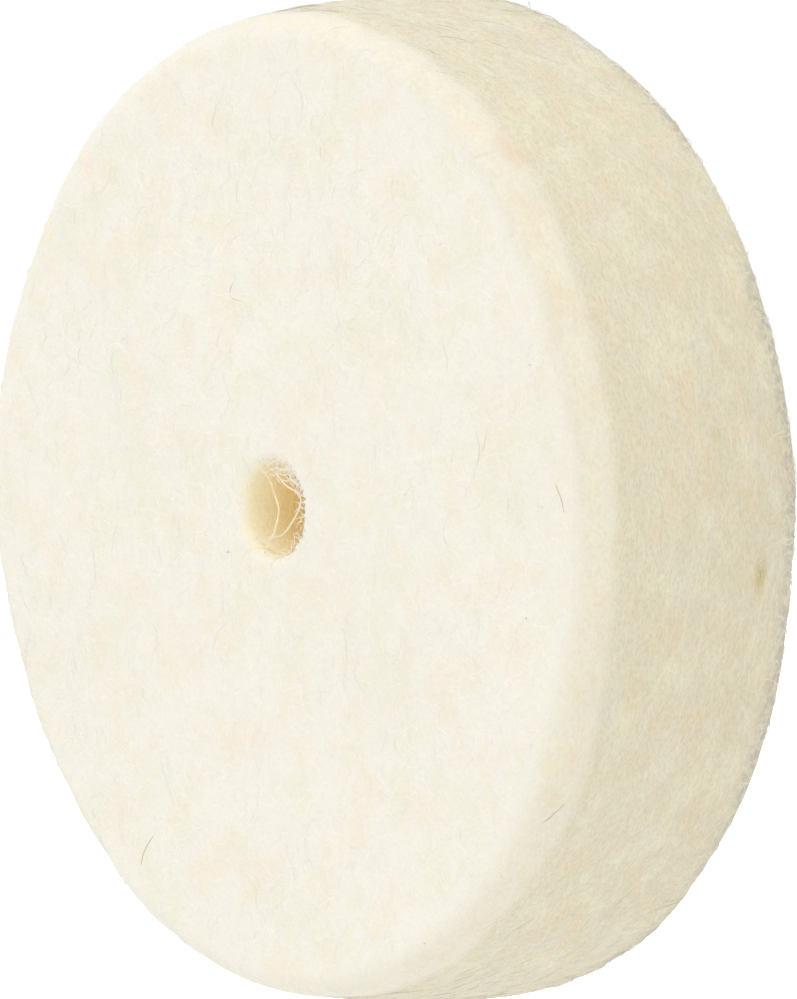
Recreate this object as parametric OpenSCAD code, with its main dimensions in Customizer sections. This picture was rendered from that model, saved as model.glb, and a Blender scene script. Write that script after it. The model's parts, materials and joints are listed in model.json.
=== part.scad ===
// Felt polishing wheel: one thick disc of pressed wool felt with a plain centre bore.
// The wheel turns about the Y axis, its front face looks towards -Y, and the origin is its centre.

/* [Disc] */
// Diameter of the disc near its back edge, where it is widest
wheel_diameter = 25; // [20:0.5:50]
// Thickness between the two flat faces
wheel_thickness = 6; // [4:0.5:12]
// How much smaller the disc is across its front edge, because the cutting die presses the felt in
rim_draft = 0.75; // [0:0.05:1.5]

/* [Edges] */
// Radius that softens the front edge
front_edge_radius = 0.6; // [0.1:0.05:1.5]
// Radius that softens the back edge
back_edge_radius = 0.4; // [0.1:0.05:1.5]

/* [Bore] */
// Diameter of the bore that takes the mandrel
bore_diameter = 2.7; // [1.5:0.1:6]

/* [Hidden] */
$fn = 128;
cut_over = 1;
back_radius = wheel_diameter / 2;
front_radius = back_radius - rim_draft / 2;
half_thickness = wheel_thickness / 2;

// Centre of each edge round as [distance from the axis, height from the middle plane]
front_round = [front_radius - front_edge_radius, -half_thickness + front_edge_radius];
back_round = [back_radius - back_edge_radius, half_thickness - back_edge_radius];

// The rim is the straight line that touches both edge rounds, and this is its slope to the axis
round_to_round = back_round - front_round;
rim_slope = atan2(round_to_round.x, round_to_round.y)
    - asin((front_edge_radius - back_edge_radius) / norm(round_to_round));

// Point where an edge round runs into the rim
function rim_point(centre, radius) = centre + radius * [cos(rim_slope), -sin(rim_slope)];

// Half of the disc's cross-section, with both edges rounded
module disc_section() {
    polygon([
        [0, -half_thickness],
        [front_round.x, -half_thickness],
        front_round,
        rim_point(front_round, front_edge_radius),
        rim_point(back_round, back_edge_radius),
        back_round,
        [back_round.x, half_thickness],
        [0, half_thickness]
    ]);
    translate(front_round) circle(r = front_edge_radius);
    translate(back_round) circle(r = back_edge_radius);
}

// The whole wheel is one piece of felt
module felt_disc() {
    color([0.96, 0.945, 0.9])
    rotate([-90, 0, 0])
    difference() {
        rotate_extrude() disc_section();
        cylinder(h = wheel_thickness + 2 * cut_over, d = bore_diameter, center = true);
    }
}

felt_disc();
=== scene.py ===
import json
import math

import bmesh
import bpy
import numpy as np
from mathutils import Matrix, Vector
from mathutils.kdtree import KDTree


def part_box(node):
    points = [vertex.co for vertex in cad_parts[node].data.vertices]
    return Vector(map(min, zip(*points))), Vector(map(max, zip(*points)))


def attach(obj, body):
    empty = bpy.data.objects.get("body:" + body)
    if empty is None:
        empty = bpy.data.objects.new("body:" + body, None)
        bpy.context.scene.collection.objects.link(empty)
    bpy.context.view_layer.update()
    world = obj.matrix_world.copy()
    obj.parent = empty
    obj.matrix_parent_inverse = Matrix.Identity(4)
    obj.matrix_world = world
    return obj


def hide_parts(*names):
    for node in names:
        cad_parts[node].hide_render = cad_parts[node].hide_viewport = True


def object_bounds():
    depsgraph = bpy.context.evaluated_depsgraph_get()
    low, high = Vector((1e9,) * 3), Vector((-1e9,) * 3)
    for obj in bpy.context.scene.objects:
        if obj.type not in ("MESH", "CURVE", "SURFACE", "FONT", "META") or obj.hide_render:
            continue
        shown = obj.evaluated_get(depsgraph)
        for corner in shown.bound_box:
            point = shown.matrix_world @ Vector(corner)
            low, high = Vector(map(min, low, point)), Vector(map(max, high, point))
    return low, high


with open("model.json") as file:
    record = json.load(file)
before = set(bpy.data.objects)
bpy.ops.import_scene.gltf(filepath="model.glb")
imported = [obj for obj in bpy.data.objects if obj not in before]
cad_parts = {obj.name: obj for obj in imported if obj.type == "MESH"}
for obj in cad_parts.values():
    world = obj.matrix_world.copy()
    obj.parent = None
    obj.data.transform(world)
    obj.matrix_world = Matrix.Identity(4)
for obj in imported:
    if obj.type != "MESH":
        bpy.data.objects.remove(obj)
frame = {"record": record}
cadLow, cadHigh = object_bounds()
mm = 0.001
fullTurn = 2 * math.pi

# The wheel turns about Y, its front face looks towards -Y, and the origin is its centre.
wheel = {
    "rimRadius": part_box("felt_disc")[1].x,  # at the back edge, where it is widest
    "halfThick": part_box("felt_disc")[1].y,
    "boreRadius": frame["record"]["mounts"][0]["dims"]["r_mm"] * mm,
    "draft": 0.375 * mm,  # how far the front edge lies inside the back edge
    "frontEdge": 0.62 * mm,  # radii of the softened edges and of the bore's mouths
    "backEdge": 0.4 * mm,
    "mouth": 0.26 * mm,
    "mergeDist": 0.0005 * mm,
    "rimCrown": 0.05 * mm,
    "ringStep": 0.19 * mm,
    "spokes": 512,
}


def arcPoints(centre, radius, start, end, count):
    turns = [start + (end - start) * i / count for i in range(count + 1)]
    return [(centre[0] + radius * math.cos(a), centre[1] + radius * math.sin(a)) for a in turns]


# Outline of the cut through one side of the wheel, as (radius, y)
def wheelSection(w):
    deep, bore, mouth = w["halfThick"], w["boreRadius"], w["mouth"]
    front = (w["rimRadius"] - w["draft"] - w["frontEdge"], w["frontEdge"] - deep)
    back = (w["rimRadius"] - w["backEdge"], deep - w["backEdge"])
    run = (back[0] - front[0], back[1] - front[1])
    lean = math.atan2(*run) - math.asin((w["frontEdge"] - w["backEdge"]) / math.hypot(*run))
    quarter = math.pi / 2
    points = arcPoints((bore + mouth, mouth - deep), mouth, 2 * quarter, 3 * quarter, 6)
    points += arcPoints(front, w["frontEdge"], -quarter, -lean, 10)
    backArc = arcPoints(back, w["backEdge"], -lean, quarter, 8)
    low, high = points[-1], backArc[0]
    for i in range(1, 12):
        share = i / 12
        swell = w["rimCrown"] * 4 * share * (1 - share)
        points.append((low[0] + (high[0] - low[0]) * share + swell, low[1] + (high[1] - low[1]) * share))
    points += backArc
    points += arcPoints((bore + mouth, deep - mouth), mouth, quarter, 2 * quarter, 6)
    return points


section = np.array(wheelSection(wheel))
loop = np.vstack([section, section[:1]])
along = np.concatenate([[0], np.cumsum(np.hypot(*np.diff(loop, axis=0).T))])  # distance along the outline
slope = np.gradient(loop, along, axis=0)
slope[0] = slope[-1] = (0, -1)


# Gentle hollows and swellings that pressing leaves in the felt, as sums of slow waves.
puckers = {
    "seed": 11,
    "bands": [(9 * mm, 0.04 * mm, 14), (3 * mm, 0.012 * mm, 20), (1.1 * mm, 0.006 * mm, 30)],
}


def makeWaves(p):
    rng = np.random.default_rng(p["seed"])
    waves = []
    for length, height, count in p["bands"]:
        way = rng.normal(size=(count, 3))
        way /= np.linalg.norm(way, axis=1)[:, None]
        pitch = fullTurn / length * rng.uniform(0.7, 1.35, (count, 1))
        waves.append((way * pitch, rng.uniform(0, fullTurn, count), height * math.sqrt(2 / count)))
    return waves


feltWaves = makeWaves(puckers)


def puckerHeight(points):
    height = np.zeros(points.shape[:-1])
    for way, phase, size in feltWaves:
        height += size * np.sin(points @ way.T + phase).sum(-1)
    return height


# The hole was punched a little askew: at the front face it opens further towards -X,
# and there its lip is pinched and ragged.
askew = {
    "shift": 0.65 * mm,  # towards -X at the front face
    "reach": 2.2 * mm,  # how far out from the hole the felt is dragged along
    "deepest": 2.4 * mm,  # y at which the hole is true again
    "pinch": 0.15 * mm,
    "ragged": 0.016 * mm,  # height of the lip's small waves
    "lipWidth": 0.5 * mm,
    "lipDepth": 0.6 * mm,
    "waves": (9, 75, 14),  # fewest and most round the lip, and how many kinds
    "seed": 5,
}


def makeRags(a):
    rng = np.random.default_rng(a["seed"])
    count = a["waves"][2]
    return rng.integers(*a["waves"]), rng.uniform(0, fullTurn, count)


lipRags = makeRags(askew)


def punchShift(points):
    radial = np.hypot(points[..., 0], points[..., 2])
    far = radial - wheel["boreRadius"]
    near = np.clip(1 - far / askew["reach"], 0, 1)
    front = np.clip((askew["deepest"] - points[..., 1]) / (askew["deepest"] + wheel["halfThick"]), 0, 1)
    angle = np.arctan2(points[..., 2], points[..., 0])[..., None]
    rags = np.sin(lipRags[0] * angle + lipRags[1]).sum(-1) * askew["ragged"]
    below = points[..., 1] + wheel["halfThick"]
    lip = np.clip(1 - far / askew["lipWidth"], 0, 1) * np.clip(1 - below / askew["lipDepth"], 0, 1)
    lip *= np.clip(0.4 + points[..., 0] / (1.5 * mm), 0.1, 1)  # mostly on the +X side
    closing = (rags * lip - askew["pinch"] * near * front) / np.maximum(radial, 0.1 * mm)
    moved = points * (1 + closing[..., None] * np.array([1, 0, 1]))
    moved[..., 0] -= askew["shift"] * near * near * (3 - 2 * near) * front
    return moved


# Points of the felt's surface, found by distance along the outline and by angle
def onSurface(place, angle, lift):
    place = place % along[-1]
    radius, depth = (np.interp(place, along, loop[:, i]) for i in (0, 1))
    run = np.stack([np.interp(place, along, slope[:, i]) for i in (0, 1)], -1)
    run /= np.linalg.norm(run, axis=-1)[..., None]
    base = np.stack([radius * np.cos(angle), depth, radius * np.sin(angle)], -1)
    out = np.stack([run[..., 1] * np.cos(angle), -run[..., 0], run[..., 1] * np.sin(angle)], -1)
    return punchShift(base + out * (lift + puckerHeight(base))[..., None]), out


def linkPiece(name, mesh, material):
    piece = bpy.data.objects.new(name, mesh)
    bpy.context.scene.collection.objects.link(piece)
    mesh.materials.clear()
    mesh.materials.append(material)
    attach(piece, "root")
    return piece


def makeDisc(w, material):
    bm = bmesh.new()
    ring = [bm.verts.new((r, y, 0)) for r, y in section]
    edges = [bm.edges.new(pair) for pair in zip(ring, ring[1:] + ring[:1])]
    for edge in edges:
        cuts = round(edge.calc_length() / w["ringStep"]) - 1
        if cuts > 0:
            bmesh.ops.subdivide_edges(bm, edges=[edge], cuts=cuts)
    bmesh.ops.spin(bm, geom=bm.verts[:] + bm.edges[:], axis=(0, 1, 0), cent=(0, 0, 0),
                   angle=fullTurn, steps=w["spokes"], use_merge=True)
    bmesh.ops.remove_doubles(bm, verts=bm.verts, dist=w["mergeDist"])
    bmesh.ops.recalc_face_normals(bm, faces=bm.faces)
    for face in bm.faces:
        face.smooth = True
    mesh = bpy.data.meshes.new("feltDisc")
    bm.to_mesh(mesh)
    bm.free()
    co = np.empty(len(mesh.vertices) * 3, np.float32)
    out = np.empty_like(co)
    mesh.vertices.foreach_get("co", co)
    mesh.vertex_normals.foreach_get("vector", out)
    co, out = co.reshape(-1, 3).astype(float), out.reshape(-1, 3)
    co = punchShift(co + out * puckerHeight(co)[:, None])
    mesh.vertices.foreach_set("co", co.astype(np.float32).ravel())
    mesh.update()
    print("disc", len(mesh.vertices), "vertices")
    return linkPiece("feltDisc", mesh, material)


def startMaterial(name):
    material = bpy.data.materials.new(name)
    material.use_nodes = True
    tree = material.node_tree
    return material, tree, tree.nodes["Principled BSDF"]


def put(tree, kind, inputs=(), **settings):
    node = tree.nodes.new("ShaderNode" + kind)
    for key, value in settings.items():
        setattr(node, key, value)
    for socket, value in dict(inputs).items():
        if isinstance(value, bpy.types.NodeSocket):
            tree.links.new(value, node.inputs[socket])
        else:
            node.inputs[socket].default_value = value
    return node


def calc(tree, operation, a, b=0.0):
    return put(tree, "Math", {0: a, 1: b}, operation=operation).outputs[0]


def ramp(tree, value, low, high, toLow=0.0, toHigh=1.0):
    inputs = {"Value": value, "From Min": low, "From Max": high, "To Min": toLow, "To Max": toHigh}
    return put(tree, "MapRange", inputs, interpolation_type="SMOOTHSTEP").outputs["Result"]


def blend(tree, share, under, over):
    mix = put(tree, "Mix", {0: share}, data_type="RGBA")
    for socket, value in ((6, under), (7, over)):
        if isinstance(value, bpy.types.NodeSocket):
            tree.links.new(value, mix.inputs[socket])
        else:
            mix.inputs[socket].default_value = (*value, 1)
    return mix.outputs[2]


# Object coordinates counted in millimetres
def inMm(tree, scale=(1, 1, 1), turn=(0, 0, 0)):
    coords = put(tree, "TexCoord").outputs["Object"]
    scaled = put(tree, "Mapping", {"Vector": coords, "Scale": [1000 * s for s in scale], "Rotation": turn})
    return scaled.outputs[0]


def noise(tree, coords, scale, detail=2.0, rough=0.5):
    inputs = {"Vector": coords, "Scale": scale, "Detail": detail, "Roughness": rough}
    return put(tree, "TexNoise", inputs).outputs["Fac"]


# Small tan and brown marks in the rim, each at an angle up from +X and a depth
stains = [
    {"angle": -10.9, "y": 1.80 * mm, "size": (0.85, 0.28), "share": 0.85, "colour": (0.56, 0.45, 0.20)},
    {"angle": 43.7, "y": -2.3 * mm, "size": (1.1, 0.6), "share": 0.6, "colour": (0.76, 0.56, 0.36)},
    {"angle": 33.2, "y": -1.2 * mm, "size": (0.7, 0.5), "share": 0.35, "colour": (0.76, 0.58, 0.38)},
    {"angle": -24.3, "y": -1.5 * mm, "size": (0.9, 0.45), "share": 0.6, "colour": (0.76, 0.57, 0.32)},
    {"angle": -40.1, "y": 1.4 * mm, "size": (0.9, 0.5), "share": 0.45, "colour": (0.76, 0.58, 0.38)},
    {"angle": 5.0, "y": 0.57 * mm, "size": (0.3, 0.24), "share": 0.55, "colour": (0.60, 0.45, 0.20)},
]
# Grey specks along the back edge, partly dust and partly painted shade
backDustShade = {
    "colour": (0.36, 0.36, 0.34),
    "share": 0.78,
    "depth": (0.8, 0.15),  # millimetres from the back face where it starts and is full
    "radii": (11.9, 12.25),
}

feltLook = {
    "face": (0.886, 0.85, 0.757),
    "rim": (0.744, 0.69, 0.519),
    # the hole's wall: pale at the mouth, a darker ochre deeper in, partly the felt's own tone and partly
    # painted shade
    "mouth": (0.83, 0.795, 0.62),
    "bore": (0.71, 0.56, 0.285),
    "tan": (0.80, 0.63, 0.42),
    "peach": (0.90, 0.79, 0.63),
    "green": (0.83, 0.82, 0.62),
    "grey": (0.74, 0.72, 0.66),
    "line": (0.95, 0.93, 0.87),
    # painted shade in the small hollows of the grain
    "pitShade": (0.55, 0.48, 0.30),
    "strand": (0.925, 0.895, 0.81),
    "rimBack": (0.705, 0.645, 0.475),
    "rimStrand": (0.78, 0.725, 0.555),
    "boreStrand": (0.80, 0.71, 0.46),
}

# How much of each tint, line and painted pit shade shows at most
tintShares = {
    "peach": 0.55,
    "green": 0.45,
    "tan": 0.5,
    "olive": 0.45,
    "grey": 0.4,
    "line": 0.12,
    # painted shade in the grain's small hollows, on the face and on the cut rim
    "facePitShade": 0.05,
    "rimPitShade": 0.3,
}

# What each shader is set to
feltSurface = {
    "Roughness": 0.9,
    "Sheen Weight": 0.08,
    "Sheen Roughness": 0.5,
    "Specular IOR Level": 0.15,
    "Subsurface Weight": 0.3,
    "Subsurface Scale": 0.25 * mm,
    "Subsurface Radius": (1.0, 0.8, 0.45),
}
strandSurface = {
    "Roughness": 0.55,
    "Specular IOR Level": 0.3,
    "Sheen Weight": 0.35,
    "Sheen Roughness": 0.5,
}


# Where the pale pressed face gives way to the darker cut felt, in millimetres
cutEdges = {
    "wrapTop": 0.3,  # how much further the pale face wraps over the edge at the top and bottom
    "wrapBottom": 0.2,
    "wrapHeights": (2, 9),
    "front": (-0.1, 0.8),  # distances from the front and back faces
    "back": (0.0, 0.2),
    "edge": (11.2, 12.4),  # radii
    "edgeShare": 0.6,
    "mouth": (1.28, 1.62),
    "mouthDepth": (-0.02, 0.35),
}


# Shares of the surface that is cut felt (rim and bore) and of the bore alone
def zones(tree, c=cutEdges):
    parts = put(tree, "SeparateXYZ", {0: inMm(tree)}).outputs
    halfThick = wheel["halfThick"] / mm
    near, far = c["wrapHeights"]
    wrapTop = ramp(tree, parts["Z"], near, far, 0.0, c["wrapTop"])
    wrapBottom = ramp(tree, parts["Z"], -far, -near, c["wrapBottom"], 0.0)
    wrap = calc(tree, "ADD", wrapTop, wrapBottom)
    fromFront = calc(tree, "ADD", parts["Y"], halfThick)
    fromEdge = calc(tree, "SUBTRACT", fromFront, wrap)
    fromBack = calc(tree, "SUBTRACT", halfThick, parts["Y"])
    cut = calc(tree, "MULTIPLY", ramp(tree, fromEdge, *c["front"]), ramp(tree, fromBack, *c["back"]))
    deepest = askew["deepest"] / mm
    lean = calc(tree, "DIVIDE", calc(tree, "SUBTRACT", deepest, parts["Y"]), deepest + halfThick)
    centred = calc(tree, "MULTIPLY_ADD", calc(tree, "MAXIMUM", lean), askew["shift"] / mm)
    tree.links.new(parts["X"], centred.node.inputs[2])
    flat = put(tree, "CombineXYZ", {"X": centred, "Z": parts["Z"]}).outputs[0]
    radial = put(tree, "VectorMath", {0: flat}, operation="LENGTH").outputs["Value"]
    inside = ramp(tree, radial, *c["mouth"], 1.0, 0.0)
    darkened = ramp(tree, calc(tree, "SUBTRACT", radial, wrap), *c["edge"], 0.0, c["edgeShare"])
    cut = calc(tree, "MAXIMUM", cut, darkened)
    bore = calc(tree, "MULTIPLY", inside, ramp(tree, fromFront, *c["mouthDepth"]))
    return cut, bore, parts, radial


# Thin curly lines, like single fibres seen in the pressed surface
def fibreWeb(tree, scale, stretch, turn):
    coords = inMm(tree, stretch, turn)
    warp = put(tree, "TexNoise", {"Vector": coords, "Scale": scale * 0.5, "Detail": 1.5})
    push = put(tree, "VectorMath", {0: warp.outputs["Color"], 1: (1.1 / scale,) * 3}, operation="MULTIPLY")
    bent = put(tree, "VectorMath", {0: coords, 1: push.outputs[0]}, operation="ADD").outputs[0]
    cells = put(tree, "TexVoronoi", {"Vector": bent, "Scale": scale}, feature="DISTANCE_TO_EDGE")
    return ramp(tree, cells.outputs["Distance"], 0.0, 0.16, 1.0, 0.0)


def addStain(tree, stain, colour, streaks):
    turn = math.radians(stain["angle"])
    reach = wheel["rimRadius"] - 0.15 * mm
    spot = Vector((reach * math.cos(turn), stain["y"], reach * math.sin(turn))) / mm
    away = put(tree, "VectorMath", {0: inMm(tree), 1: spot}, operation="SUBTRACT").outputs[0]
    wide = 1 / stain["size"][0]
    scale = (wide, 1 / stain["size"][1], wide)
    scaled = put(tree, "VectorMath", {0: away, 1: scale}, operation="MULTIPLY").outputs[0]
    far = put(tree, "VectorMath", {0: scaled}, operation="LENGTH").outputs["Value"]
    uneven = ramp(tree, streaks, 0.35, 0.6, 0.4, 1.0)
    mark = calc(tree, "MULTIPLY", ramp(tree, far, 0.15, 1.0, stain["share"], 0.0), uneven)
    return blend(tree, mark, colour, stain["colour"])


# Grey specks along the back edge: partly dust caught there, partly painted shade where the rounded edge
# turns from the light
def addBackDustShade(tree, parts, radial, coords, colour):
    halfThick = wheel["halfThick"] / mm
    start, full = backDustShade["depth"]
    edge = ramp(tree, parts["Y"], halfThick - start, halfThick - full)
    patches = ramp(tree, noise(tree, coords, 0.25, 1), 0.38, 0.58, 0.3, 1.0)
    specks = ramp(tree, noise(tree, coords, 5.0, 2, 0.7), 0.38, 0.60, 0.15, 1.0)
    edge = calc(tree, "MULTIPLY", edge, ramp(tree, radial, *backDustShade["radii"]))
    dustAndShade = calc(tree, "MULTIPLY", calc(tree, "MULTIPLY", edge, patches), specks)
    return blend(tree, calc(tree, "MULTIPLY", dustAndShade, backDustShade["share"]), colour, backDustShade["colour"])


def setSurface(shader, surface):
    for socket, value in surface.items():
        shader.inputs[socket].default_value = value


def feltMaterial(look, shares):
    material, tree, shader = startMaterial("feltWool")
    cut, bore, parts, radial = zones(tree)
    uncut = calc(tree, "SUBTRACT", 1.0, cut)
    wall = calc(tree, "MULTIPLY", cut, calc(tree, "SUBTRACT", 1.0, bore))
    plain = inMm(tree)
    layered = inMm(tree, (0.8, 1.4, 0.8))
    towardsBack = ramp(tree, parts["Y"], -2.0, 2.6)
    colour = blend(tree, cut, look["face"], blend(tree, towardsBack, look["rim"], look["rimBack"]))
    # soft clouds of peach and green on the face
    clouds = put(tree, "TexNoise", {"Vector": plain, "Scale": 0.75, "Detail": 4, "Roughness": 0.6})
    tints = put(tree, "SeparateColor", {0: clouds.outputs["Color"]}).outputs
    peach = calc(tree, "MULTIPLY", ramp(tree, tints[0], 0.47, 0.66, 0.0, shares["peach"]), uncut)
    colour = blend(tree, peach, colour, look["peach"])
    green = calc(tree, "MULTIPLY", ramp(tree, tints[1], 0.47, 0.66, 0.0, shares["green"]), uncut)
    colour = blend(tree, green, colour, look["green"])
    # flecks of tan, green and grey drawn out around the rim
    drawn = put(tree, "TexNoise", {"Vector": layered, "Scale": 0.85, "Detail": 4.5, "Roughness": 0.68})
    flecks = put(tree, "SeparateColor", {0: drawn.outputs["Color"]}).outputs
    tan = calc(tree, "MULTIPLY", ramp(tree, flecks[0], 0.50, 0.68, 0.0, shares["tan"]), wall)
    colour = blend(tree, tan, colour, look["tan"])
    olive = calc(tree, "MULTIPLY", ramp(tree, flecks[1], 0.46, 0.66, 0.0, shares["olive"]), wall)
    colour = blend(tree, olive, colour, look["green"])
    grey = calc(tree, "MULTIPLY", ramp(tree, flecks[2], 0.50, 0.70, 0.0, shares["grey"]), wall)
    colour = blend(tree, grey, colour, look["grey"])
    # from the mouth inwards the hole's wall turns a darker ochre: partly the cut felt's own tone, partly
    # painted shade deeper in the hole
    deeper = ramp(tree, parts["Y"], 0.2 - wheel["halfThick"] / mm, 1.8 - wheel["halfThick"] / mm)
    colour = blend(tree, bore, colour, blend(tree, deeper, look["mouth"], look["bore"]))
    for stain in stains:
        colour = addStain(tree, stain, colour, flecks[0])
    # grey specks on the back edge: dust and painted shade
    colour = addBackDustShade(tree, parts, radial, plain, colour)
    # single fibres in the surface, and the grain between them, its darker specks painted shade in the small
    # hollows
    web = fibreWeb(tree, 3.2, (1, 1, 1), (0.3, 0.5, 0.2))
    rimWeb = fibreWeb(tree, 3.0, (0.4, 2.6, 0.4), (0, 0, 0))
    lines = put(tree, "Mix", {0: cut, 2: web, 3: rimWeb}).outputs[0]
    outOfBore = calc(tree, "SUBTRACT", shares["line"], calc(tree, "MULTIPLY", bore, shares["line"]))
    colour = blend(tree, calc(tree, "MULTIPLY", lines, outOfBore), colour, look["line"])
    grain = noise(tree, inMm(tree, (0.8, 1.5, 0.8)), 10.0, 2, 0.6)
    # the darker specks in the grain are painted shade, stronger on the cut felt
    wellCut = calc(tree, "MULTIPLY", cut, cut)
    dark = put(tree, "Mix", {0: wellCut, 2: shares["facePitShade"], 3: shares["rimPitShade"]}).outputs[0]
    pitShadeMask = calc(tree, "MULTIPLY", ramp(tree, grain, 0.42, 0.66), dark)
    colour = blend(tree, pitShadeMask, colour, look["pitShade"])
    tree.links.new(colour, shader.inputs["Base Color"])
    height = calc(tree, "ADD", calc(tree, "MULTIPLY", grain, 1.5), lines)
    bump = put(tree, "Bump", {"Height": height, "Distance": 0.00001, "Strength": 0.6})
    tree.links.new(bump.outputs[0], shader.inputs["Normal"])
    setSurface(shader, feltSurface)
    return material


# Single fibres, a little paler than the felt they lie on, each with its own shade from 0 to 1
def strandMaterial(look):
    material, tree, shader = startMaterial("feltStrands")
    cut, bore = zones(tree)[:2]
    colour = blend(tree, cut, look["strand"], look["rimStrand"])
    colour = blend(tree, bore, colour, look["boreStrand"])
    shade = put(tree, "Attribute", attribute_name="shade").outputs["Fac"]
    colour = blend(tree, calc(tree, "MULTIPLY", shade, 0.2), colour, look["tan"])
    tree.links.new(colour, shader.inputs["Base Color"])
    setSurface(shader, strandSurface)
    return material


# Three-cornered cross-section of every fibre, one unit in radius
def fibreProfile():
    profile = bpy.data.curves.new("fibreProfile", "CURVE")
    corners = profile.splines.new("POLY")
    corners.points.add(2)
    for i, point in enumerate(corners.points):
        point.co = (math.cos(i * fullTurn / 3), -math.sin(i * fullTurn / 3), 0, 1)
    corners.use_cyclic_u = True
    return bpy.data.objects.new("fibreProfile", profile)


# Wanders over the surface: returns places, angles and lifts, one row a fibre
def walk(kind, rng):
    count, rings = kind["count"], kind["rings"]
    share = np.linspace(0, 1, rings)
    length = rng.uniform(*kind["length"], (count, 1))
    step = length / (rings - 1)
    spread = np.linspace(*kind["zone"], 400)
    room = np.cumsum(np.interp(spread % along[-1], along, loop[:, 0]))
    start = np.interp(rng.uniform(0, room[-1], count), room, spread)[:, None]
    middle = share[None, 1:] * length
    heading = kind["heading"] + rng.uniform(-1, 1, (count, 1)) * kind["fan"]
    heading = heading + rng.choice([0, math.pi], (count, 1))
    wave = rng.uniform(*kind["crimp"], (count, 1))
    heading = heading + kind["swing"] * rng.uniform(0.3, 1, (count, 1)) * np.sin(
        fullTurn * middle / wave + rng.uniform(0, fullTurn, (count, 1)))
    heading = heading + np.cumsum(rng.normal(0, kind["stray"], (count, rings - 1)), 1)
    place = start + np.hstack([np.zeros((count, 1)), np.cumsum(step * np.cos(heading), 1)])
    radius = np.maximum(np.interp(place % along[-1], along, loop[:, 0]), 0.3 * mm)
    turn = np.cumsum(step * np.sin(heading) / (radius[:, 1:] + radius[:, :-1]) * 2, 1)
    angle = rng.uniform(0, fullTurn, (count, 1)) + np.hstack([np.zeros((count, 1)), turn])
    rise = np.minimum(rng.exponential(kind["lift"], (count, 1)), kind["liftMost"])
    lift = rise * np.sin(math.pi * share) ** 0.8 - kind["sink"] * (1 - np.sin(math.pi * share) ** 0.5)
    return place, angle, lift


def makeFibres(name, kind, material):
    rng = np.random.default_rng(kind["seed"])
    count, rings = kind["count"], kind["rings"]
    place, angle, lift = walk(kind, rng)
    spots, out = onSurface(place, angle, lift)
    share = np.linspace(-1, 1, rings)
    thick = rng.uniform(*kind["thick"], (count, 1)) * (1 - 0.6 * np.abs(share) ** 3)
    shades = rng.uniform(0, 1, count) ** kind["paleness"]
    piece, owner = fibresFrom(name, spots, thick, shades, material)
    lieDown(piece.data, out.reshape(-1, 3)[owner])


# Fibres that lie flat take light much as the felt under them does, and less so over the round edges
def lieDown(mesh, under):
    bend = np.abs(under[:, 1:2]) * np.hypot(under[:, 0:1], under[:, 2:3])
    share = 0.65 - 0.3 * np.clip(3 * bend, 0, 1)
    own = np.empty(len(mesh.vertices) * 3, np.float32)
    mesh.vertex_normals.foreach_get("vector", own)
    mixed = own.reshape(-1, 3) * (1 - share) + under * share
    mixed /= np.linalg.norm(mixed, axis=1)[:, None]
    mesh.normals_split_custom_set_from_vertices(mixed.tolist())


# Turns right any fibre whose faces point inwards, as a tight bend can leave it
def turnOutwards(mesh, spots, owner):
    own = np.empty(len(mesh.vertices) * 3, np.float32)
    co = np.empty_like(own)
    mesh.vertex_normals.foreach_get("vector", own)
    mesh.vertices.foreach_get("co", co)
    away = co.reshape(-1, 3) - spots.reshape(-1, 3)[owner]
    fibre = owner // spots.shape[1]
    facing = np.bincount(fibre, (own.reshape(-1, 3) * away).sum(1), len(spots))
    for polygon in mesh.polygons:
        if facing[fibre[polygon.vertices[0]]] < 0:
            polygon.flip()
    print(mesh.name, int((facing < 0).sum()), "fibres turned")


# For each corner of a fibre mesh, the number of the ring of points that it belongs to
def findOwners(mesh, spots):
    rings = spots.reshape(-1, 3) / mm
    tree = KDTree(len(rings))
    for i, point in enumerate(rings):
        tree.insert(point, i)
    tree.balance()
    return np.array([tree.find(vert.co / mm)[1] for vert in mesh.vertices])


# Lays a mesh of fibres out flat, each fibre in its own narrow cell, so that its colours can be baked
def layOut(mesh, owner, count, rings, columns=16):
    order = np.argsort(owner, kind="stable")
    first = np.searchsorted(owner[order], owner[order])
    corner = np.empty(len(owner))
    corner[order] = np.minimum(np.arange(len(owner)) - first, 2)
    fibre, ring = owner // rings, owner % rings
    rows = math.ceil(count / columns)
    across = (fibre % columns + 0.1 + 0.8 * ring / (rings - 1)) / columns
    up = (fibre // columns + 0.25 + 0.25 * corner) / rows
    corners = np.empty(len(mesh.loops), np.int32)
    mesh.loops.foreach_get("vertex_index", corners)
    layer = mesh.uv_layers.new(name="OFBake")
    layer.uv.foreach_set("vector", np.stack([across, up], -1)[corners].astype(np.float32).ravel())


capGap = 0.00002 * mm


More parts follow.
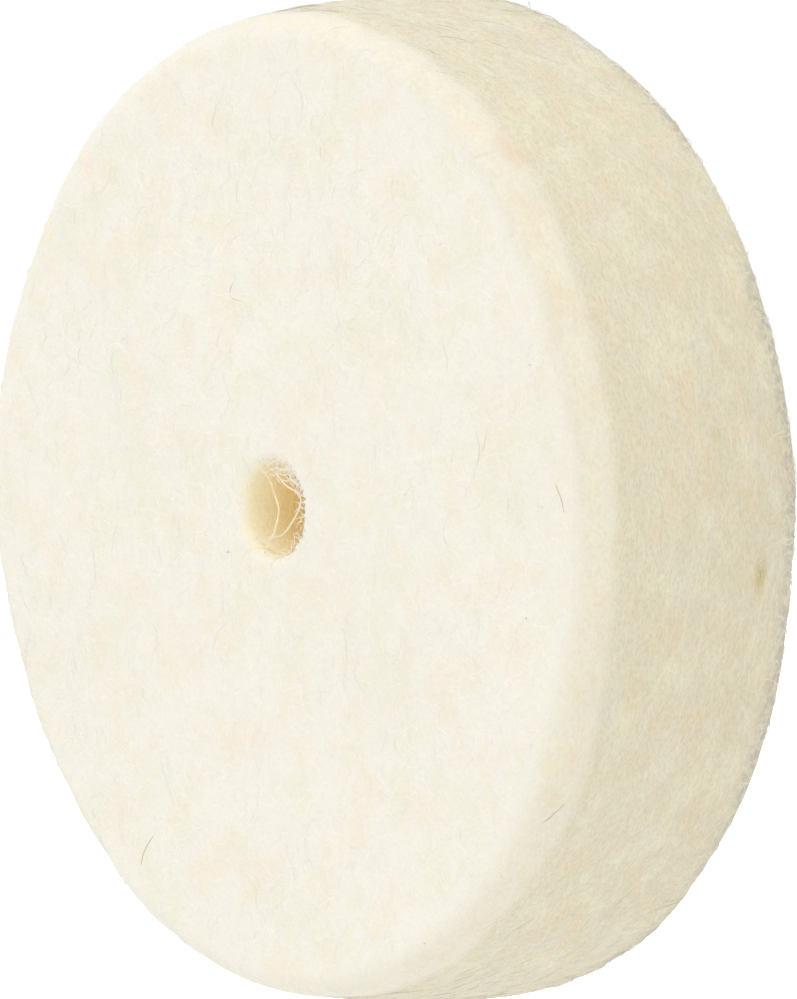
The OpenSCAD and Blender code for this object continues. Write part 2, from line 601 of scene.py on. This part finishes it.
# Turns rows of points into closed tapered strands in one mesh
def fibresFrom(name, spots, thick, shades, material):
    count, rings = spots.shape[:2]
    curve = bpy.data.curves.new(name, "CURVE")
    curve.dimensions = "3D"
    curve.bevel_mode = "OBJECT"
    curve.bevel_object = profileObject
    curve.use_fill_caps = True
    coords = np.concatenate([spots, np.ones((count, rings, 1))], 2).astype(np.float32)
    for row, radii in zip(coords, thick.astype(np.float32)):
        spline = curve.splines.new("POLY")
        spline.points.add(rings - 1)
        spline.points.foreach_set("co", row.ravel())
        spline.points.foreach_set("radius", radii)
        spline.use_smooth = True
    strand = bpy.data.objects.new(name + "Curve", curve)
    bpy.context.scene.collection.objects.link(strand)
    graph = bpy.context.evaluated_depsgraph_get()
    mesh = bpy.data.meshes.new_from_object(strand.evaluated_get(graph))
    mesh.name = name
    bpy.data.objects.remove(strand)
    bpy.data.curves.remove(curve)
    bm = bmesh.new()
    bm.from_mesh(mesh)
    bmesh.ops.remove_doubles(bm, verts=bm.verts, dist=capGap)  # joins the end caps to the tubes
    bmesh.ops.recalc_face_normals(bm, faces=bm.faces)
    for face in bm.faces:
        face.smooth = True
    bm.to_mesh(mesh)
    bm.free()
    owner = findOwners(mesh, spots)
    turnOutwards(mesh, spots, owner)
    tint = mesh.attributes.new("shade", "FLOAT", "POINT")
    tint.data.foreach_set("value", shades[owner // rings].astype(np.float32))
    layOut(mesh, owner, count, rings)
    print(name, count, "fibres", len(mesh.polygons), "faces")
    piece = linkPiece(name, mesh, material)
    piece.visible_shadow = False  # wool fibres let the light through
    piece.visible_diffuse = False
    return piece, owner


profileObject = fibreProfile()
bpy.context.scene.collection.objects.link(profileObject)

mouthLength = along[6]  # places along the outline where its parts begin and end
frontEnd = along[7]
rimStart, rimEnd = along[17], along[29]
backStart, backEnd = along[37], along[38]

common = {"rings": 11, "sink": 0.03 * mm, "liftMost": 0.2 * mm, "stray": 0.16, "paleness": 2.0,
          "heading": 0, "fan": math.pi, "thick": (0.007 * mm, 0.012 * mm)}
fibreKinds = {
    "frontFibresA": {
        **common, "seed": 101, "count": 2400, "zone": (0, frontEnd), "length": (0.5 * mm, 1.5 * mm),
        "crimp": (0.5 * mm, 1.4 * mm), "swing": 0.9, "lift": 0.006 * mm, "liftMost": 0.04 * mm,
    },
    "frontFibresB": {
        **common, "seed": 102, "count": 2500, "zone": (0, frontEnd), "length": (0.8 * mm, 2.2 * mm),
        "crimp": (0.7 * mm, 2.0 * mm), "swing": 0.8, "lift": 0.008 * mm, "liftMost": 0.05 * mm,
    },
    "rimFibresA": {
        **common, "seed": 201, "count": 2600, "zone": (rimStart, rimEnd),
        "length": (0.5 * mm, 1.8 * mm), "heading": math.pi / 2, "fan": 0.3,
        "crimp": (0.7 * mm, 2.0 * mm), "swing": 0.35, "lift": 0.004 * mm, "liftMost": 0.02 * mm,
        "thick": (0.006 * mm, 0.011 * mm),
    },
    "rimFibresB": {
        **common, "seed": 202, "count": 1300, "rings": 9, "zone": (rimStart, backStart),
        "length": (0.4 * mm, 1.3 * mm), "heading": math.pi / 2, "fan": 0.9,
        "crimp": (0.4 * mm, 1.4 * mm), "swing": 0.6, "lift": 0.004 * mm, "liftMost": 0.03 * mm,
        "thick": (0.005 * mm, 0.009 * mm),
    },
    "boreFibres": {
        **common, "seed": 401, "count": 120, "rings": 9, "zone": (backEnd, along[-1]),
        "length": (0.3 * mm, 0.9 * mm), "heading": math.pi / 2, "fan": 1.0,
        "crimp": (0.4 * mm, 1.2 * mm), "swing": 0.6, "lift": 0.03 * mm,
    },
    "backFibresA": {
        **common, "seed": 301, "count": 3100, "zone": (rimEnd, backEnd + mouthLength),
        "length": (0.7 * mm, 2.0 * mm), "crimp": (0.6 * mm, 1.6 * mm), "swing": 0.9, "lift": 0.02 * mm,
    },
    "backFibresB": {
        **common, "seed": 302, "count": 2200, "rings": 9, "zone": (rimEnd, backEnd + mouthLength),
        "length": (0.5 * mm, 1.4 * mm), "crimp": (0.5 * mm, 1.4 * mm), "swing": 0.8, "lift": 0.02 * mm,
    },
}

# Long loose strands across the front mouth of the hole, and short dark pieces that are painted shade
# in the gaps of the tangle and of the lip: darkness, radius and depth in mm, then the path as (x, z) in mm
mouthStrandsAndShade = {
    "pale": (0.99, 0.90, 0.71),
    # dark: the colour of the painted shade pieces; the pale strands take only a little of it
    "dark": (0.30, 0.25, 0.12),
    "rings": 40,
    "slant": 1.25,  # millimetres to -X for each one of depth
    "paths": [
        (0.00, 0.030, 0.20, [(-0.95, 1.02), (-0.80, 0.88), (-0.64, 0.76), (-0.53, 0.53),
                             (-0.43, 0.26), (-0.32, 0.0), (-0.37, -0.20), (-0.52, -0.50),
                             (-0.68, -0.75), (-0.95, -0.95)]),
        (0.00, 0.028, 0.10, [(-0.60, 1.0), (-0.33, 0.86), (-0.18, 0.70), (0.02, 0.52), (0.36, 0.40),
                             (0.60, 0.20), (0.55, 0.05), (0.34, -0.22), (0.0, -0.51),
                             (-0.22, -0.66), (-0.52, -0.72), (-0.80, -0.68)]),
        (0.00, 0.024, 0.05, [(-0.80, 0.84), (-0.48, 0.99), (-0.17, 0.96), (0.14, 0.94), (0.39, 0.98),
                             (0.62, 1.08)]),
        (0.05, 0.022, 0.04, [(0.40, 1.08), (0.57, 0.85), (0.63, 0.70), (0.64, 0.52), (0.60, 0.38),
                             (0.46, 0.25)]),
        (0.05, 0.024, 0.12, [(0.05, 1.05), (0.14, 0.90), (0.22, 0.74), (0.37, 0.60), (0.66, 0.47),
                             (0.80, 0.50)]),
        (0.10, 0.020, 0.15, [(-0.10, 1.0), (0.0, 0.80), (0.18, 0.66), (0.30, 0.50)]),
        (0.00, 0.020, 0.02, [(-0.70, 1.0), (-0.50, 1.15), (-0.06, 1.20), (0.17, 1.12), (0.28, 0.95)]),
        (0.05, 0.020, 0.04, [(0.20, 1.16), (0.10, 0.98), (0.24, 0.86), (0.44, 0.80), (0.66, 0.88)]),
        (0.05, 0.018, 0.10, [(-0.30, 1.10), (-0.20, 0.98), (-0.02, 0.90), (0.10, 1.0), (0.02, 1.12),
                             (-0.15, 1.05)]),
        (0.15, 0.018, 0.06, [(-0.45, 0.88), (-0.28, 0.96), (-0.12, 0.86), (0.05, 0.90), (0.12, 0.80)]),
        (0.10, 0.018, 0.05, [(0.48, 0.70), (0.40, 0.82), (0.28, 0.92), (0.34, 1.06)]),
        (0.00, 0.022, 0.03, [(-0.62, 0.86), (-0.40, 0.80), (-0.22, 0.86), (-0.05, 0.78),
                             (0.12, 0.84), (0.30, 0.74)]),
        (0.05, 0.020, 0.06, [(-0.35, 1.05), (-0.24, 0.86), (-0.30, 0.72), (-0.18, 0.60)]),
        (0.00, 0.020, 0.05, [(-0.15, 0.70), (0.05, 0.64), (0.25, 0.70), (0.42, 0.60), (0.62, 0.62)]),
        (0.05, 0.022, 0.03, [(0.52, 1.02), (0.40, 0.88), (0.46, 0.74), (0.58, 0.60), (0.70, 0.56)]),
        (0.00, 0.018, 0.02, [(0.05, 1.14), (0.22, 1.02), (0.40, 1.0), (0.56, 0.92), (0.66, 0.80)]),
        (0.05, 0.018, 0.04, [(0.64, 0.98), (0.56, 0.80), (0.60, 0.66), (0.52, 0.46)]),
        (0.00, 0.018, 0.03, [(0.16, 0.98), (0.28, 0.86), (0.22, 0.72), (0.32, 0.58)]),
        # short thick dark pieces: painted shade in the gaps between the pale strands at the top of the hole
        (0.75, 0.030, 0.10, [(0.08, 0.88), (0.10, 0.80), (0.14, 0.73)]),
        (0.80, 0.032, 0.10, [(0.40, 0.74), (0.45, 0.68), (0.50, 0.60)]),
        (0.75, 0.028, 0.08, [(0.34, 1.02), (0.38, 0.96), (0.42, 0.88)]),
        (0.80, 0.026, 0.08, [(0.54, 0.64), (0.57, 0.57), (0.58, 0.50)]),
        # tiny dark bits: painted shade in the gaps between the fibres of the lip
        (0.80, 0.018, 0.00, [(0.62, 0.03), (0.67, 0.00), (0.70, 0.04)]),
        (0.70, 0.018, 0.00, [(0.50, -0.72), (0.53, -0.66), (0.50, -0.60)]),
        (0.60, 0.016, 0.00, [(0.20, -0.98), (0.26, -0.92), (0.30, -0.95)]),
        (0.50, 0.016, 0.00, [(0.58, 0.98), (0.55, 0.90), (0.60, 0.84)]),
        (0.60, 0.016, 0.00, [(0.68, 0.36), (0.64, 0.30), (0.69, 0.24)]),
    ],
}

# Odd hairs caught in the felt: on the face as (x, z) in mm, on the rim as (degrees up from +X, y in mm)
oddHairs = {
    "rings": 24,
    "pale": (0.70, 0.66, 0.54),
    "dark": (0.16, 0.14, 0.10),
    "face": [  # darkness, radius in mm, path
        (0.12, 0.013, [(-1.53, 5.66), (-1.68, 5.48), (-1.72, 5.37), (-1.65, 5.26), (-1.52, 5.19),
                       (-1.28, 5.15)]),
        (0.10, 0.022, [(-6.22, -7.95), (-6.57, -8.28), (-6.69, -8.46), (-6.77, -8.66)]),
        (0.35, 0.012, [(10.40, 0.15), (10.48, -0.02), (10.59, -0.17), (10.66, -0.36), (10.71, -0.58)]),
        (0.00, 0.009, [(9.65, -0.34), (9.85, -0.42), (10.0, -0.41)]),
        (0.35, 0.014, [(8.95, -8.03), (9.15, -7.95), (9.38, -7.81), (9.64, -7.68)]),
        (0.35, 0.022, [(-2.19, -1.02), (-2.15, -1.04), (-2.12, -1.07)]),
        (0.20, 0.018, [(-5.36, -1.40), (-5.30, -1.42)]),
        (0.25, 0.018, [(9.75, 3.07), (9.79, 3.02)]),
        (0.25, 0.018, [(9.05, -3.02), (9.06, -3.08)]),
        (0.25, 0.018, [(4.28, -10.80), (4.31, -10.84)]),
    ],
    "rim": [
        (0.00, 0.009, [(26.3, -1.43), (25.2, -1.58), (24.5, -1.60), (24.0, -1.53), (23.8, -1.44),
                       (23.3, -1.38)]),
        (0.45, 0.016, [(-10.5, 1.77), (-11.0, 1.78), (-11.4, 1.80)]),
    ],
}


# Rounds off a path through a few points and spreads its rings evenly
def easePath(points, rings):
    path = np.array(points, float)
    for _ in range(3):
        behind, ahead = path[:-1], path[1:]
        cut = np.stack([behind * 0.75 + ahead * 0.25, behind * 0.25 + ahead * 0.75], 1)
        path = np.vstack([path[:1], cut.reshape(-1, path.shape[1]), path[-1:]])
    far = np.concatenate([[0], np.cumsum(np.linalg.norm(np.diff(path, axis=0), axis=1))])
    even = np.linspace(0, far[-1], rings)
    return np.stack([np.interp(even, far, path[:, i]) for i in range(path.shape[1])], -1)


def taper(radius, rings):
    return radius * (1 - 0.7 * np.abs(np.linspace(-1, 1, rings)) ** 6)


def makeMouthStrandsAndShade(m):
    rows, radii = [], []
    for darkness, radius, deep, path in m["paths"]:
        flat = easePath(path, m["rings"]) * mm
        sink = deep * mm * np.sin(math.pi * np.linspace(0, 1, m["rings"]))
        # a path is drawn as seen slantwise from +X, so its deeper part stands further to -X
        rows.append(np.stack([flat[:, 0] - m["slant"] * sink, sink - wheel["halfThick"], flat[:, 1]], -1))
        radii.append(taper(radius * mm, m["rings"]))
    shades = np.array([row[0] for row in m["paths"]])
    material, tree, shader = startMaterial("mouthWoolAndShade")
    shade = put(tree, "Attribute", attribute_name="shade").outputs["Fac"]
    speckle = ramp(tree, noise(tree, inMm(tree), 3.0, 2), 0.35, 0.65, 0.0, 0.12)
    colour = blend(tree, calc(tree, "ADD", shade, speckle), m["pale"], m["dark"])
    tree.links.new(colour, shader.inputs["Base Color"])
    shader.inputs["Roughness"].default_value = 0.6
    shader.inputs["Sheen Weight"].default_value = 0.3
    fibresFrom("mouthStrandsAndShade", np.array(rows), np.array(radii), shades, material)


# Short curled fibres that stand from the mouth's lip into the hole, most of them at the top and the +X side
lipFuzz = {"seed": 77, "count": 190, "rings": 10, "middle": 0.9, "spread": 1.1, "length": (0.12, 0.42),
           "curl": 1.1, "radius": (0.009, 0.016), "hole": 1.22}


def makeLipFuzz(f, material):
    rng = np.random.default_rng(f["seed"])
    count, rings = f["count"], f["rings"]
    angle = rng.normal(f["middle"], f["spread"], count)
    out = np.stack([np.cos(angle), np.zeros(count), np.sin(angle)], -1)
    start = out * (f["hole"] + rng.uniform(-0.02, 0.10, (count, 1))) * mm
    start[:, 0] -= askew["shift"]
    start[:, 1] = -wheel["halfThick"] + rng.uniform(0.0, 0.25, count) * mm
    turn = angle + math.pi + rng.normal(0, 0.8, count)
    bend = rng.normal(0, f["curl"], count)[:, None] * np.linspace(0, 1, rings - 1)
    heading = turn[:, None] + bend + rng.normal(0, 0.15, (count, rings - 1)).cumsum(1)
    length = rng.uniform(*f["length"], (count, 1)) * mm / (rings - 1)
    sway = rng.normal(0, 0.35, (count, 1)) * np.ones((1, rings - 1))
    steps = np.stack([np.cos(heading), sway, np.sin(heading)], -1) * length[..., None]
    spots = start[:, None] + np.concatenate([np.zeros((count, 1, 3)), steps.cumsum(1)], 1)
    thick = rng.uniform(*f["radius"], (count, 1)) * mm * np.linspace(1, 0.4, rings)
    fibresFrom("lipFuzz", spots, thick, rng.uniform(0, 1, count) ** 2 * 0.6, material)


def makeOddHairs(h):
    rows, radii, shades = [], [], []
    for place in ("face", "rim"):
        for darkness, radius, path in h[place]:
            flat = easePath(path, h["rings"])
            if place == "face":
                reach = np.hypot(flat[:, 0], flat[:, 1]) * mm
                spots = along[6] + reach - loop[6, 0]
                angle = np.arctan2(flat[:, 1], flat[:, 0])
            else:
                spots = np.interp(flat[:, 1] * mm, loop[17:30, 1], along[17:30])
                angle = np.radians(flat[:, 0])
            rows.append(onSurface(spots, angle, np.full(h["rings"], radius * 0.6 * mm))[0])
            radii.append(taper(radius * mm, h["rings"]))
            shades.append(darkness)
    material, tree, shader = startMaterial("oddHairs")
    shade = put(tree, "Attribute", attribute_name="shade").outputs["Fac"]
    uneven = ramp(tree, noise(tree, inMm(tree), 2.5, 2), 0.3, 0.7, 0.75, 1.0)
    colour = blend(tree, calc(tree, "MULTIPLY", shade, uneven), h["pale"], h["dark"])
    tree.links.new(colour, shader.inputs["Base Color"])
    shader.inputs["Roughness"].default_value = 0.5
    fibresFrom("oddHairs", np.array(rows), np.array(radii), np.array(shades), material)


feltWool = feltMaterial(feltLook, tintShares)
disc = makeDisc(wheel, feltWool)
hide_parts("felt_disc")

feltStrands = strandMaterial(feltLook)
for kindName, kind in fibreKinds.items():
    makeFibres(kindName, kind, feltStrands)
makeMouthStrandsAndShade(mouthStrandsAndShade)
makeLipFuzz(lipFuzz, feltStrands)
makeOddHairs(oddHairs)
bpy.data.objects.remove(profileObject)


studio = {
    "floorSize": 6.0,
    "floorGap": 0.05 * mm,
    "floorColour": (0.95, 0.95, 0.945),
    "floorGlow": 0.6,
    "worldLight": (0.985, 0.83),  # from below and from above
    "lamps": {  # strength, spread in degrees, where it stands
        "key": (0.8, 60, (0.1, -0.35, 1.0)),
        "fill": (0.25, 60, (0.78, -0.62, 0.1)),
    },
    # light that soaks through the felt into the hole
    "soak": {
        "power": 0.000028,
        "radius": 0.25 * mm,
        "place": (0.35 * mm, -1.6 * mm, 0.0),
        "colour": (1.0, 0.9, 0.75),
    },
}


def makeFloor(s):
    bm = bmesh.new()
    bmesh.ops.create_grid(bm, x_segments=8, y_segments=8, size=s["floorSize"] / 2)
    bmesh.ops.translate(bm, verts=bm.verts, vec=(0, 0, cadLow.z - s["floorGap"]))
    mesh = bpy.data.meshes.new("floor")
    bm.to_mesh(mesh)
    bm.free()
    floor = bpy.data.objects.new("floor", mesh)
    bpy.context.scene.collection.objects.link(floor)
    material, tree, shader = startMaterial("floorPaper")
    speck = noise(tree, inMm(tree), 0.05, 3)
    pale = s["floorColour"]
    colour = blend(tree, ramp(tree, speck, 0.3, 0.7), pale, [c * 0.99 for c in pale])
    tree.links.new(colour, shader.inputs["Base Color"])
    shader.inputs["Roughness"].default_value = 0.95
    shader.inputs["Specular IOR Level"].default_value = 0.1
    shader.inputs["Emission Color"].default_value = (1, 1, 1, 1)
    shader.inputs["Emission Strength"].default_value = s["floorGlow"]
    mesh.materials.append(material)
    floor.visible_diffuse = False  # the light from below comes from the world alone
    floor.visible_shadow = False


def makeLights(s):
    world = bpy.data.worlds.new("studioWorld")
    world.use_nodes = True
    bpy.context.scene.world = world
    tree = world.node_tree
    back = tree.nodes["Background"]
    seen = put(tree, "LightPath").outputs["Is Camera Ray"]
    height = put(tree, "SeparateXYZ", {0: put(tree, "TexCoord").outputs["Generated"]}).outputs["Z"]
    around = ramp(tree, height, -0.3, 0.3, *s["worldLight"])
    inputs = {"Value": seen, "To Min": around, "To Max": 1.0}
    tree.links.new(put(tree, "MapRange", inputs).outputs["Result"], back.inputs["Strength"])
    back.inputs["Color"].default_value = (1, 1, 1, 1)
    for name, (strength, spread, stand) in s["lamps"].items():
        sun = bpy.data.lights.new(name, "SUN")
        sun.energy = strength
        sun.angle = math.radians(spread)
        lamp = bpy.data.objects.new(name, sun)
        lamp.rotation_mode = "QUATERNION"
        lamp.rotation_quaternion = Vector(stand).to_track_quat("Z", "Y")
        bpy.context.scene.collection.objects.link(lamp)
    soak = bpy.data.lights.new("soak", "POINT")
    soak.energy = s["soak"]["power"]
    soak.color = s["soak"]["colour"]
    soak.shadow_soft_size = s["soak"]["radius"]
    lamp = bpy.data.objects.new("soak", soak)
    lamp.location = s["soak"]["place"]
    lamp.visible_camera = False
    bpy.context.scene.collection.objects.link(lamp)


view = {
    "azimuth": 51.45,  # degrees round from straight in front
    "roll": -3.77,
    "distance": 375 * mm,
    "frameHeight": 24.70 * mm,  # seen at the wheel's centre
    "aside": (0.408 * mm, 0.042 * mm),  # from the wheel's centre to the middle of the frame
}


def makeCamera(v):
    data = bpy.data.cameras.new("camera")
    data.sensor_width = 36.0
    data.lens = data.sensor_width * v["distance"] / v["frameHeight"]
    data.clip_start, data.clip_end = 0.01, 20.0
    camera = bpy.data.objects.new("camera", data)
    bpy.context.scene.collection.objects.link(camera)
    bpy.context.scene.camera = camera
    turn, roll = math.radians(v["azimuth"]), math.radians(v["roll"])
    back = Vector((math.sin(turn), -math.cos(turn), 0))
    level = Vector((math.cos(turn), math.sin(turn), 0))
    right = level * math.cos(roll) + Vector((0, 0, 1)) * math.sin(roll)
    up = Vector((0, 0, 1)) * math.cos(roll) - level * math.sin(roll)
    place = Matrix((right, up, back)).transposed().to_4x4()
    place.translation = back * v["distance"] + right * v["aside"][0] + up * v["aside"][1]
    camera.matrix_world = place


makeFloor(studio)
makeLights(studio)
makeCamera(view)
bpy.context.scene.view_settings.view_transform = "Standard"
